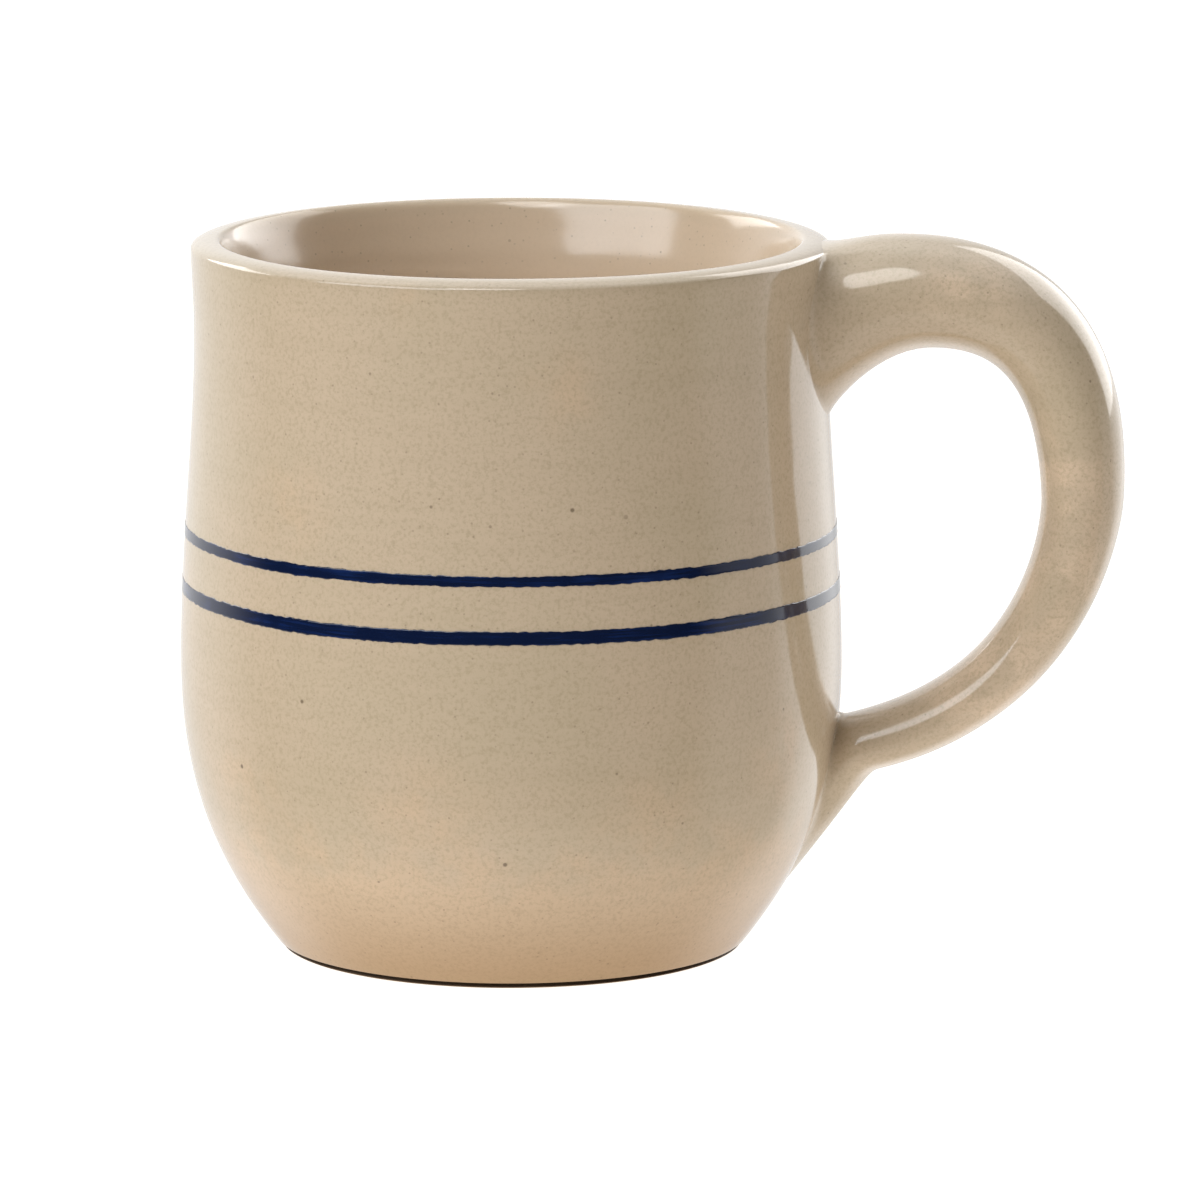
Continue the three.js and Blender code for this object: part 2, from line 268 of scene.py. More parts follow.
def outside_outline(wall):
    """The glazed outside from the table to the lip's crown"""
    foot = Vector((wall.foot_radius, 0))
    slope = Vector((math.cos(wall.foot_slope), math.sin(wall.foot_slope)))
    belly = Vector((wall.belly_radius, wall.belly_height))
    waist = Vector((wall.belly_radius - wall.waist_inset, wall.height - wall.waist_below_rim))
    lip = Vector((wall.belly_radius - wall.rim_inset, wall.height - wall.lip_drop))
    crown = crown_of(wall)
    up = Vector((0, 1))
    round_up = lip + up * (crown.y - lip.y) * QUARTER
    round_in = crown + Vector((wall.crown_inset * QUARTER, 0))
    points = [foot]
    foot_curve = (foot, foot + slope * wall.foot_reach, belly - up * wall.belly_reach_down, belly)
    points += sample(foot_curve, WALL_STEPS)
    fullness = up * wall.belly_reach_up
    points += sample((belly, belly + fullness, waist - fullness, waist), WALL_STEPS)
    points += sample((waist, waist + up * wall.waist_reach, lip - up * wall.waist_reach, lip), WAIST_STEPS)
    return points + sample((lip, round_up, round_in, crown), LIP_STEPS)


def inside_outline(wall):
    """The glazed inside from the lip's crown to the middle of the floor"""
    crown = crown_of(wall)
    turned = crown - Vector((wall.lip_turn, wall.lip_turn))
    lip = crown - Vector((wall.lip_step, wall.lip_flare))
    onwards = (lip - turned).normalized()
    belly = Vector((wall.belly_radius - wall.wall_thickness, wall.belly_height))
    floor = Vector((0, wall.floor_thickness))
    up = Vector((0, 1))
    out = Vector((1, 0))
    points = sample((crown, crown - out * wall.lip_turn * CROWN_PULL, turned, lip), 2 * LIP_STEPS)
    wall_curve = (lip, lip + onwards * wall.lip_ease, belly + up * wall.belly_reach_up, belly)
    points += sample(wall_curve, INSIDE_STEPS)
    floor_curve = (belly, belly - up * wall.inside_wall_reach, floor + out * wall.inside_floor_reach, floor)
    return points + sample(floor_curve, INSIDE_STEPS)


def normals(points):
    """The outward normal at each point of an outline that runs up the outside"""
    result = []
    for i in range(len(points)):
        before = points[max(i - 1, 0)]
        after = points[min(i + 1, len(points) - 1)]
        along = (after - before).normalized()
        result.append(Vector((along.y, -along.x)))
    return result


def offset(points, distance):
    return [p + n * distance for p, n in zip(points, normals(points))]


def above_height(points, height):
    """The part of a rising outline above a height, cut exactly there"""
    for i in range(len(points) - 1):
        low, high = points[i], points[i + 1]
        if low.y <= height < high.y:
            cut = low.lerp(high, (height - low.y) / (high.y - low.y))
            return [cut] + points[i + 1:]
    raise ValueError("the outline doesn't cross that height")


class Track:
    """Distances along a line of points"""

    def __init__(self, points):
        self.points = points
        self.lengths = [0.0]
        for a, b in zip(points, points[1:]):
            self.lengths.append(self.lengths[-1] + (b - a).length)
        self.total = self.lengths[-1]

    def segment(self, distance):
        for i in range(1, len(self.lengths) - 1):
            if distance <= self.lengths[i]:
                return i - 1
        return len(self.lengths) - 2

    def at(self, distance):
        i = self.segment(distance)
        share = (distance - self.lengths[i]) / (self.lengths[i + 1] - self.lengths[i])
        return self.points[i].lerp(self.points[i + 1], share)

    def direction(self, distance):
        step = 0.2 * MM
        low = max(distance - step, 0)
        high = min(distance + step, self.total)
        return (self.at(high) - self.at(low)).normalized()

    def distance_at_height(self, height):
        for i in range(len(self.points) - 1):
            low, high = self.points[i].y, self.points[i + 1].y
            if low <= height < high:
                share = (height - low) / (high - low)
                return self.lengths[i] + share * (self.lengths[i + 1] - self.lengths[i])
        raise ValueError("the outline doesn't reach that height")


# Modelling steps

def start_piece(name):
    """A single point at the origin, in a new piece that is open in edit mode"""
    bpy.ops.object.select_all(action="DESELECT")
    bpy.ops.mesh.primitive_plane_add(size=MM)
    piece = bpy.context.object
    piece.name = name
    piece.data.name = name
    bpy.ops.object.mode_set(mode="EDIT")
    bpy.ops.mesh.select_mode(type="VERT")
    bpy.ops.mesh.select_all(action="SELECT")
    bpy.ops.mesh.merge(type="CENTER")
    return piece


def close_up(piece):
    """Merges the seam, points the faces out and leaves edit mode"""
    bpy.ops.mesh.select_all(action="SELECT")
    bpy.ops.mesh.remove_doubles(threshold=MERGE_DISTANCE)
    bpy.ops.mesh.normals_make_consistent(inside=False)
    bpy.ops.object.mode_set(mode="OBJECT")
    bpy.ops.object.shade_smooth()
    return piece


def turn(name, outline, segments):
    """An outline drawn point by point and spun round the mug's axis"""
    piece = start_piece(name)
    bpy.ops.transform.translate(value=(outline[0].x, 0, outline[0].y))
    for here, there in zip(outline, outline[1:]):
        step = (there.x - here.x, 0, there.y - here.y)
        bpy.ops.mesh.extrude_region_move(TRANSFORM_OT_translate={"value": step})
    bpy.ops.mesh.select_all(action="SELECT")
    bpy.ops.mesh.spin(steps=segments, angle=math.tau, center=(0, 0, 0), axis=(0, 0, 1))
    return close_up(piece)


def apply_modifier(piece, kind, **settings):
    modifier = piece.modifiers.new(kind.title(), kind)
    for key, value in settings.items():
        setattr(modifier, key, value)
    bpy.context.view_layer.objects.active = piece
    bpy.ops.object.modifier_apply(modifier=modifier.name)


def cloud(name, size, depth=1):
    """A soft noise that modifiers read, in metres"""
    texture = bpy.data.textures.new(name, "CLOUDS")
    texture.noise_scale = size
    texture.noise_depth = depth
    return texture


def dip(piece, depth, size):
    """Lets a surface fall a little below its true form, never above it"""
    texture = cloud(piece.name + "_unevenness", size)
    apply_modifier(
        piece, "DISPLACE", texture=texture, texture_coords="LOCAL", direction="NORMAL",
        mid_level=1.0, strength=depth,
    )


def hand_over(piece, slot, material, *nodes):
    """Gives a finished piece its finish and its body, and hides the nodes that it stands for"""
    piece.data.materials.clear()
    piece.data.materials.append(material)
    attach(piece, "root")
    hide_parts(*nodes)


# Finishes

GLAZE_IOR = 1.58


class Finish:
    """A node material whose nodes are added and linked by short calls"""

    def __init__(self, name):
        self.material = bpy.data.materials.new(name)
        self.material.use_nodes = True
        self.tree = self.material.node_tree
        self.shader = self.tree.nodes["Principled BSDF"]
        coordinates = self.add("ShaderNodeTexCoord")
        self.place = coordinates.outputs["Object"]
        split = self.add("ShaderNodeSeparateXYZ", {"Vector": self.place})
        self.x, self.y, self.z = split.outputs

    def add(self, kind, inputs=None, **settings):
        node = self.tree.nodes.new(kind)
        for key, value in settings.items():
            setattr(node, key, value)
        for key, value in (inputs or {}).items():
            self.put(node.inputs[key], value)
        return node

    def put(self, socket, value):
        if isinstance(value, bpy.types.NodeSocket):
            self.tree.links.new(value, socket)
        else:
            socket.default_value = value

    def math(self, operation, first, second=0.0):
        return self.add("ShaderNodeMath", {0: first, 1: second}, operation=operation).outputs[0]

    def vector(self, operation, first, second=(0, 0, 0), result="Vector"):
        node = self.add("ShaderNodeVectorMath", {0: first, 1: second}, operation=operation)
        return node.outputs[result]

    def ramp(self, value, low, high, to_low=0.0, to_high=1.0):
        """A smooth step from one value to another"""
        node = self.add(
            "ShaderNodeMapRange",
            {"Value": value, "From Min": low, "From Max": high, "To Min": to_low, "To Max": to_high},
            interpolation_type="SMOOTHSTEP",
        )
        return node.outputs["Result"]

    def stretched(self, scale, shift=(0, 0, 0)):
        inputs = {"Vector": self.place, "Location": shift, "Scale": scale}
        return self.add("ShaderNodeMapping", inputs).outputs[0]

    def noise(self, size, detail=2.0, roughness=0.5, place=None):
        inputs = {
            "Vector": place or self.place, "Scale": 1 / size, "Detail": detail, "Roughness": roughness,
        }
        return self.add("ShaderNodeTexNoise", inputs).outputs["Fac"]

    def mix(self, share, under, over):
        node = self.add("ShaderNodeMix", data_type="RGBA")
        self.put(node.inputs["Factor"], share)
        self.put(node.inputs[6], under)
        self.put(node.inputs[7], over)
        return node.outputs[2]

    def bump(self, height, depth, under=None):
        inputs = {"Height": height, "Distance": depth, "Strength": 1.0}
        if under:
            inputs["Normal"] = under
        return self.add("ShaderNodeBump", inputs).outputs[0]

    def specks(self, size, reach, fewest, place=None):
        """Specks of uneven strength: one in each cell of a size, out to a share of the cell"""
        cells = self.add("ShaderNodeTexVoronoi", {"Vector": place or self.place, "Scale": 1 / size})
        near = self.ramp(cells.outputs["Distance"], reach, reach * 0.45)
        chance = self.add("ShaderNodeSeparateColor", {"Color": cells.outputs["Color"]}).outputs[0]
        strength = self.ramp(chance, fewest, 1.0)
        return self.math("MULTIPLY", near, strength)


def opaque(rgb):
    return (rgb[0], rgb[1], rgb[2], 1.0)


# Peach flashes: the angle from the handle, the distance from the axis, the height and the size of each
BLUSHES = (
    (-76, 44, 81, 8),
    (-102, 44, 92, 5),
    (-127, 44, 64, 9),
    (-100, 44, 24, 13),
    (-60, 44, 22, 12),
    (-140, 44, 26, 12),
    (-30, 44, 30, 10),
    (20, 44, 66, 10),
    (75, 44, 70, 11),
    (120, 44, 40, 12),
    (160, 44, 66, 10),
    (60, 44, 26, 13),
    (-165, 44, 48, 10),
    # The last four lie on the front of the handle; besides flashes, they lighten the strap as painted light
    (-8, 62, 92, 9),
    (-6, 72, 63, 13),
    (-6, 73, 50, 13),
    (-8, 64, 38, 14),
)


def oatmeal_glaze(settings, name, lip):
    """Glossy oatmeal glaze with iron specks, peach flashes and faint throwing lines, with painted shade
    towards the foot, a lighter inside that is partly painted light, and paler handle flashes that partly
    paint light on the strap
    """
    tones = settings.finish
    wall = settings.wall
    glaze = Finish(name)
    oatmeal = opaque(tones.oatmeal)

    drift = glaze.noise(26 * MM, detail=3.0)
    base = glaze.mix(glaze.ramp(drift, 0.38, 0.66), oatmeal, opaque(tones.oatmeal_cool))

    ragged = glaze.noise(5 * MM, detail=3.0)
    flush_and_painted_light = None
    for degrees, out, height, radius in BLUSHES:
        angle = math.radians(degrees)
        centre = Vector((out * math.cos(angle), out * math.sin(angle), height)) * MM
        away = glaze.vector("DISTANCE", glaze.place, centre, "Value")
        spot = glaze.ramp(away, radius * MM, 0.15 * radius * MM, 0.0, 0.7)
        flush_and_painted_light = spot if flush_and_painted_light is None else glaze.math("MAXIMUM", flush_and_painted_light, spot)
    flush_and_painted_light = glaze.math("MULTIPLY", flush_and_painted_light, glaze.ramp(ragged, 0.35, 0.65, 0.1, 0.8))
    if lip:
        shore = glaze.math("ADD", glaze.z, glaze.math("MULTIPLY", ragged, -20 * MM))
        foot_warmth = glaze.ramp(shore, 14 * MM, 2 * MM, 0.0, 0.85)
        flush_and_painted_light = glaze.math("MAXIMUM", flush_and_painted_light, foot_warmth)
    # On the handle the flashes are paler, partly painted light that lightens the strap's front
    base = glaze.mix(flush_and_painted_light, base, opaque(tones.blush if lip else tones.pale_blush_and_painted_light))

    lines = glaze.noise(1.0, detail=2.0, place=glaze.stretched((45, 45, 800)))
    base = glaze.mix(glaze.ramp(lines, 0.35, 0.75, 0.0, 0.1), base, opaque(tones.lip_tint))
    grain = glaze.noise(0.5 * MM, detail=3.0, roughness=0.7)
    base = glaze.mix(glaze.ramp(grain, 0.42, 0.7, 0.0, 0.46), base, opaque(tones.lip_tint))

    if lip:
        flat = glaze.vector("MULTIPLY", glaze.place, (1, 1, 0))
        radius = glaze.vector("LENGTH", flat, result="Value")
        crown = crown_of(wall).x
        past_crown = glaze.ramp(radius, crown, crown - MM)
        # Partly painted light: above 15 mm the inside takes the lighter coat, which brightens the cup's
        # inside
        inside_coat_and_painted_light = glaze.math("MULTIPLY", past_crown, glaze.ramp(glaze.z, 15 * MM, 25 * MM, 0.0, 0.7))
        base = glaze.mix(inside_coat_and_painted_light, base, opaque(tones.inside))
        # Painted shade: the wall grows darker towards the foot, standing in for the table's shaded light
        # near the mug
        base = glaze.mix(glaze.ramp(glaze.z, 17 * MM, 1 * MM, 0.0, 0.6), base, opaque(tones.painted_foot_shade))
        thin = glaze.ramp(glaze.z, wall.height - 2.2 * MM, wall.height - 0.6 * MM, 0.0, 0.15)
        base = glaze.mix(thin, base, opaque(tones.lip_tint))

    iron = opaque(tones.iron)
    fine = glaze.specks(1.1 * MM, 0.17, 0.1)
    base = glaze.mix(glaze.math("MULTIPLY", fine, 0.34), base, iron)
    middling = glaze.specks(4.0 * MM, 0.07, 0.3, glaze.stretched((1, 1, 1), (0.31, 0.17, 0.23)))
    base = glaze.mix(glaze.math("MULTIPLY", middling, 0.6), base, iron)
    coarse = glaze.specks(9.0 * MM, 0.045, 0.1, glaze.stretched((1, 1, 1), (0.13, 0.29, 0.07)))
    base = glaze.mix(glaze.math("MULTIPLY", coarse, 0.9), base, iron)

    glaze.put(glaze.shader.inputs["Base Color"], base)
    haze = glaze.noise(9 * MM, detail=3.0)
    sheen = glaze.ramp(haze, 0.3, 0.7, 0.07, 0.13)
    glaze.shader.inputs["IOR"].default_value = GLAZE_IOR
    if lip:
        sheen = glaze.math("ADD", sheen, glaze.math("MULTIPLY", inside_coat_and_painted_light, 0.1))
        shine = glaze.ramp(glaze.z, 1 * MM, 14 * MM, 0.06, 0.5)
        glaze.put(glaze.shader.inputs["Specular IOR Level"], shine)
    glaze.put(glaze.shader.inputs["Roughness"], sheen)
    peel = glaze.noise(7 * MM, detail=1.0)
    wavy = glaze.bump(peel, 0.05 * MM)
    glaze.put(glaze.shader.inputs["Normal"], glaze.bump(lines, 0.004 * MM, wavy))
    return glaze.material


def blue_glaze(settings, name):
    """Cobalt brushed under the gloss, darker where the brush was full"""
    tones = settings.finish
    cobalt = Finish(name)
    bristles = cobalt.noise(1.0, detail=3.0, place=cobalt.stretched((120, 120, 2600)))
    pooled = cobalt.noise(6 * MM, detail=2.0)
    streaks = cobalt.ramp(bristles, 0.4, 0.75)
    dry = cobalt.math("MULTIPLY", streaks, cobalt.ramp(pooled, 0.35, 0.7, 0.0, 0.6))
    base = cobalt.mix(dry, opaque(tones.cobalt), opaque(tones.thin_cobalt))
    cobalt.put(cobalt.shader.inputs["Base Color"], base)
    cobalt.put(cobalt.shader.inputs["Roughness"], cobalt.ramp(pooled, 0.3, 0.7, 0.07, 0.13))
    cobalt.shader.inputs["IOR"].default_value = GLAZE_IOR
    return cobalt.material


def bare_clay(settings, name):
    """Fired clay with grit, drag lines of the cutting wire and a dark edge under the glaze, partly toasted
    clay and partly painted contact shadow
    """
    tones = settings.finish
    clay = Finish(name)
    patchy = clay.noise(9 * MM, detail=4.0)
    base = clay.mix(clay.ramp(patchy, 0.35, 0.7), opaque(tones.clay), opaque(tones.toasted_clay))
    # Partly painted shadow: the dark edge just above the table is toasted clay and painted contact shade
    # together
    off_table = clay.ramp(clay.z, 0.02 * MM, 0.2 * MM, 0.0, 0.9)
    toast = clay.math("MULTIPLY", off_table, clay.ramp(clay.z, 3 * MM, 1.5 * MM))
    base = clay.mix(toast, base, opaque(tones.burnt_edge_and_contact_shade))
    grit = clay.specks(1.1 * MM, 0.2, 0.2)
    base = clay.mix(clay.math("MULTIPLY", grit, 0.7), base, opaque(tones.iron))
    clay.put(clay.shader.inputs["Base Color"], base)
    clay.put(clay.shader.inputs["Roughness"], clay.ramp(patchy, 0.3, 0.7, 0.75, 0.92))
    drag = clay.noise(1.0, detail=2.0, place=clay.stretched((1500, 140, 140)))
    rough = clay.bump(clay.noise(0.5 * MM, detail=3.0), 0.03 * MM)
    clay.put(clay.shader.inputs["Normal"], clay.bump(drag, 0.015 * MM, rough))
    return clay.material


# Body

WALL_SWELL = 34 * MM
GLAZE_EDGE = 0.2 * MM
GLAZE_CORNER = math.radians(50)
RING_PITCH = 5.3 * MM
FINE_RING_PITCH = 3.4 * MM
FADE_AT_LIP = 14 * MM
FADE_AT_MIDDLE = 12 * MM


def throwing_rings(points, height):
    """Adds the finger ridges of throwing to an inside outline, dying out at the lip and the middle"""
    track = Track(points)
    result = []
    for point, normal, run in zip(points, normals(points), track.lengths):
        wide = math.sin(math.tau * run / RING_PITCH)
        fine = math.sin(math.tau * run / FINE_RING_PITCH + 1.3)
        ridge = wide + 0.5 * fine
        fade = min(1, run / FADE_AT_LIP) * min(1, (track.total - run) / FADE_AT_MIDDLE)
        result.append(point + normal * (ridge - 1.5) * height / 2 * max(0, fade))
    result[-1] = points[-1].copy()
    return result


class MUG_OT_throw_body(Operator):
    """Throw the clay wall, lip and floor, bare at the foot and underneath"""

    bl_idname = "mug.throw_body"
    bl_label = "Throw Body"
    bl_options = {"REGISTER", "UNDO"}

    def execute(self, context):
        settings = context.scene.mug
        wall = settings.wall
        inset = wall.glaze_thickness + wall.bond
        skin = outside_outline(wall) + inside_outline(wall)
        clay = offset(skin, -inset)
        clay[-1].x = 0
        flat = wall.foot_radius - wall.bond - wall.foot_round
        underside = [Vector((0, 0)), Vector((flat / 2, 0)), Vector((flat, 0))]
        rounding = arc(Vector((flat, wall.foot_round)), wall.foot_round, -math.pi / 2, 0, 6)
        piece = turn("clay_body", underside + rounding + clay, wall.segments)
        hand_over(piece, "stoneware_clay", bare_clay(settings, "bare_clay"), "thrown_body")
        return {"FINISHED"}


def face_out(piece, wall):
    """Turns an open skin of the mug so that its faces at the belly look away from the axis"""
    for face in piece.data.polygons:
        centre = face.center
        if abs(centre.z - wall.belly_height) < 2 * MM and centre.xy.length > wall.belly_radius - 2 * MM:
            if face.normal.xy.dot(centre.xy) < 0:
                piece.data.flip_normals()
            return
    raise RuntimeError("no face was found at the belly")


class MUG_OT_pour_glaze(Operator):
    """Coat the wall, the lip and the inside with one closed skin of glaze"""

    bl_idname = "mug.pour_glaze"
    bl_label = "Pour Glaze"
    bl_options = {"REGISTER", "UNDO"}

    def execute(self, context):
        settings = context.scene.mug
        wall = settings.wall
        outside = above_height(outside_outline(wall), wall.glaze_line)
        skin = outside + throwing_rings(inside_outline(wall), wall.ring_height)
        piece = turn("wall_glaze", skin, wall.segments)
        face_out(piece, wall)
        dip(piece, wall.unevenness, WALL_SWELL)
        apply_modifier(piece, "SOLIDIFY", thickness=wall.glaze_thickness, offset=-1.0, use_even_offset=True)
        apply_modifier(
            piece, "BEVEL", width=GLAZE_EDGE, segments=3, limit_method="ANGLE", angle_limit=GLAZE_CORNER,
        )
        glaze = oatmeal_glaze(settings, "oatmeal_glaze_wall", lip=True)
        hand_over(piece, "oatmeal_glaze", glaze, "outside_glaze", "inside_glaze")
        return {"FINISHED"}


# Handle

TRACK_STEPS = 120
RING_STEP = 1.1 * MM
BLEND_STEPS = 14
SHORT_STEP = 0.2 * MM
HANDLE_SWELL = 22 * MM
JOINT_FACE = 50 * MM    # plane across X at which the joints' clay meets the strap's
ROOT_TUCK = 0.06 * MM   # how far a root starts below the deepest dip of the wall
ROOT_LIFT = 0.14        # rise of the blend where it leaves the wall, for each step inwards
ROOT_NEARBY = 0.97      # a place a little farther in, towards which the blend leaves the wall
UPWARDS, DOWNWARDS = 1, -1


def handle_track(settings):
    """The handle's centreline from the upper root to the lower one, in the plane of the handle"""
    wall = settings.wall
    handle = settings.handle
    outline = Track(outside_outline(wall))
    upper = outline.at(outline.distance_at_height(wall.height - handle.upper_below_rim))
    lower = outline.at(outline.distance_at_height(handle.lower_height))
    out = Vector((wall.belly_radius + handle.projection, handle.out_height))
    up = Vector((0, 1))
    leave = Vector((math.cos(handle.upper_rise), math.sin(handle.upper_rise))) * handle.upper_reach
    arrive = Vector((math.cos(handle.lower_rise), math.sin(handle.lower_rise))) * handle.lower_reach
    points = [upper]
    points += sample((upper, upper + leave, out + up * handle.out_reach_up, out), TRACK_STEPS)
    points += sample((out, out - up * handle.out_reach_down, lower + arrive, lower), TRACK_STEPS)
    return Track(points)


def strap_point(handle, track, distance, outer, side):
    """A point of the strap's oval at a distance along the centreline"""
    along = track.direction(distance)
    taper = (1 - distance / track.total) ** handle.taper_power
    thickness = handle.lower_thickness + (handle.upper_thickness - handle.lower_thickness) * taper
    width = handle.lower_width + (handle.upper_width - handle.lower_width) * taper
    place = track.at(distance) + Vector((-along.y, along.x)) * outer * thickness / 2
    return Vector((place.x, side * width / 2, place.y))


def footprint_point(outline, root, heading, outer, side, sunk):
    """A point of a root's outline on the wall, a little below the wall's skin"""
    reach = root.outer_reach if outer > 0 else root.inner_reach
    distance = outline.distance_at_height(root.widest) + heading * reach * outer
    point = outline.at(distance)
    along = outline.direction(distance)
    radius = point.x - along.y * sunk
    angle = side * root.half_width / point.x
    return Vector((radius * math.cos(angle), radius * math.sin(angle), point.y + along.x * sunk))


def shared_pull(pull, outer):
    """The pull at a place round the root, eased from the sides to both ends"""
    end = pull[0] if outer > 0 else pull[2]
    return pull[1] + (end - pull[1]) * outer * outer


def root_curve(settings, root, track, outline, heading, outer, side):
    """The blend from the wall to the strap at one place round a root, as a cubic"""
    wall = settings.wall
    sunk = wall.unevenness + ROOT_TUCK
    on_wall = footprint_point(outline, root, heading, outer, side, sunk)
    nearby = footprint_point(outline, root, heading, outer * ROOT_NEARBY, side * ROOT_NEARBY, sunk)
    inwards = nearby - on_wall
    lift = Vector((on_wall.x, on_wall.y, 0)).normalized() * inwards.length * ROOT_LIFT
    run = root.inner_start + (root.outer_start - root.inner_start) * (outer + 1) / 2
    distance = run if heading == UPWARDS else track.total - run
    on_strap = strap_point(settings.handle, track, distance, outer, side)
    back = strap_point(settings.handle, track, distance - heading * SHORT_STEP, outer, side) - on_strap
    span = (on_strap - on_wall).length
    leave = (inwards + lift).normalized() * shared_pull(root.wall_pull, outer) * span
    arrive = back.normalized() * shared_pull(root.strap_pull, outer) * span
    return on_wall, on_wall + leave, on_strap + arrive, on_strap


def lines_of_handle(settings):
    """Lines along the skin of the handle, one for each side of the strap, from wall to wall"""
    handle = settings.handle
    upper = settings.upper_root
    lower = settings.lower_root
    track = handle_track(settings)
    outline = Track(outside_outline(settings.wall))
    count = round(track.total / RING_STEP)
    lines = []
    for i in range(handle.sides):
        outer = math.sin(math.tau * i / handle.sides)
        side = math.cos(math.tau * i / handle.sides)
        share = (outer + 1) / 2
        start = upper.inner_start + (upper.outer_start - upper.inner_start) * share
        end = track.total - lower.inner_start - (lower.outer_start - lower.inner_start) * share
        first = root_curve(settings, upper, track, outline, UPWARDS, outer, side)
        last = root_curve(settings, lower, track, outline, DOWNWARDS, outer, side)
        line = [first[0]] + sample(first, BLEND_STEPS)
        for step in range(1, count):
            line.append(strap_point(handle, track, start + (end - start) * step / count, outer, side))
        line += [last[3]] + sample(last[::-1], BLEND_STEPS)
        lines.append(line)
    return lines


def lay_ring(piece, points):
    """Adds a ring and moves it onto its points"""
    bpy.ops.mesh.primitive_circle_add(vertices=len(points), radius=MM)
    mesh = bmesh.from_edit_mesh(piece.data)
    ring = [vertex for vertex in mesh.verts if vertex.select]
    ring.sort(key=lambda vertex: math.atan2(vertex.co.y, vertex.co.x))
    for vertex, point in zip(ring, points):
        vertex.co = point
    bmesh.update_edit_mesh(piece.data)


def bridge(piece, first, second, sides):
    """Joins two rings, given by their places in the order of making"""
    mesh = bmesh.from_edit_mesh(piece.data)
    mesh.verts.ensure_lookup_table()
    for edge in mesh.edges:
        rings = {vertex.index // sides for vertex in edge.verts}
        edge.select_set(len(rings) == 1 and rings <= {first, second})
    bmesh.update_edit_mesh(piece.data)
    bpy.ops.mesh.bridge_edge_loops()


def copy_piece(piece, name):
    """A copy with a mesh of its own, selected alone"""
    bpy.ops.object.select_all(action="DESELECT")
    bpy.context.view_layer.objects.active = piece
    piece.select_set(True)
    bpy.ops.object.duplicate()
    copy = bpy.context.object
    copy.name = name
    copy.data.name = name
    return copy


def keep_beyond(piece, face, direction):
    """Cuts a closed piece at a plane across X and closes the cut"""
    bpy.ops.object.mode_set(mode="EDIT")
    bpy.ops.mesh.select_all(action="SELECT")
    bpy.ops.mesh.bisect(plane_co=(face, 0, 0), plane_no=(direction, 0, 0), use_fill=True, clear_inner=True)
    bpy.ops.object.mode_set(mode="OBJECT")


def top_of(piece):
    return max(vertex.co.z for vertex in piece.data.vertices)


def clay_under(skin, inset):
    """The clay of the strap and of both joints, cut from one copy of the skin that lies a coat deeper"""
    core = copy_piece(skin, "handle_clay")
    apply_modifier(core, "DISPLACE", direction="NORMAL", mid_level=0.0, strength=-inset)
    bpy.ops.object.mode_set(mode="EDIT")
    bpy.ops.mesh.select_all(action="SELECT")
    bpy.ops.mesh.fill_holes(sides=0)
    bpy.ops.object.mode_set(mode="OBJECT")
    joints = copy_piece(core, "upper_joint_clay")
    keep_beyond(joints, JOINT_FACE, -1)
    bpy.ops.object.mode_set(mode="EDIT")
    bpy.ops.mesh.separate(type="LOOSE")
    bpy.ops.object.mode_set(mode="OBJECT")
    loose = sorted(bpy.context.selected_objects, key=top_of, reverse=True)
    if len(loose) != 2:
        raise RuntimeError("the cut didn't leave two joints")
    upper, lower = loose
    upper.name = upper.data.name = "upper_joint_clay"
    lower.name = lower.data.name = "lower_joint_clay"
    bpy.ops.object.select_all(action="DESELECT")
    bpy.context.view_layer.objects.active = core
    core.select_set(True)
    keep_beyond(core, JOINT_FACE, 1)
    return core, upper, lower


class MUG_OT_pull_handle(Operator):
    """Pull the strap of the handle, blend both of its roots into the wall and glaze it"""

    bl_idname = "mug.pull_handle"
    bl_label = "Pull Handle"
    bl_options = {"REGISTER", "UNDO"}

    def execute(self, context):
        settings = context.scene.mug
        wall = settings.wall
        handle = settings.handle
        skin = start_piece("handle_glaze_coat")
        bpy.ops.mesh.delete(type="VERT")
        bpy.ops.mesh.select_mode(type="EDGE")
        rings = list(zip(*lines_of_handle(settings)))
        for ring in rings:
            lay_ring(skin, ring)
        for i in range(len(rings) - 1):
            bridge(skin, i, i + 1, handle.sides)
        close_up(skin)
        dip(skin, handle.unevenness, HANDLE_SWELL)
        strap, upper, lower = clay_under(skin, wall.glaze_thickness + wall.bond)
        apply_modifier(skin, "SOLIDIFY", thickness=wall.glaze_thickness, offset=-1.0, use_even_offset=False)
        clay = bare_clay(settings, "bare_clay_handle")
        hand_over(strap, "stoneware_clay", clay, "handle")
        hand_over(upper, "stoneware_clay", clay, "upper_handle_joint")
        hand_over(lower, "stoneware_clay", clay, "lower_handle_joint")
        glaze = oatmeal_glaze(settings, "oatmeal_glaze_handle", lip=False)
        hand_over(skin, "oatmeal_glaze", glaze, "handle_glaze")
        return {"FINISHED"}


# Bands

BAND_ROWS = 8
RAG_SIZE = 0.9 * MM
WANDER_SIZE = 30 * MM


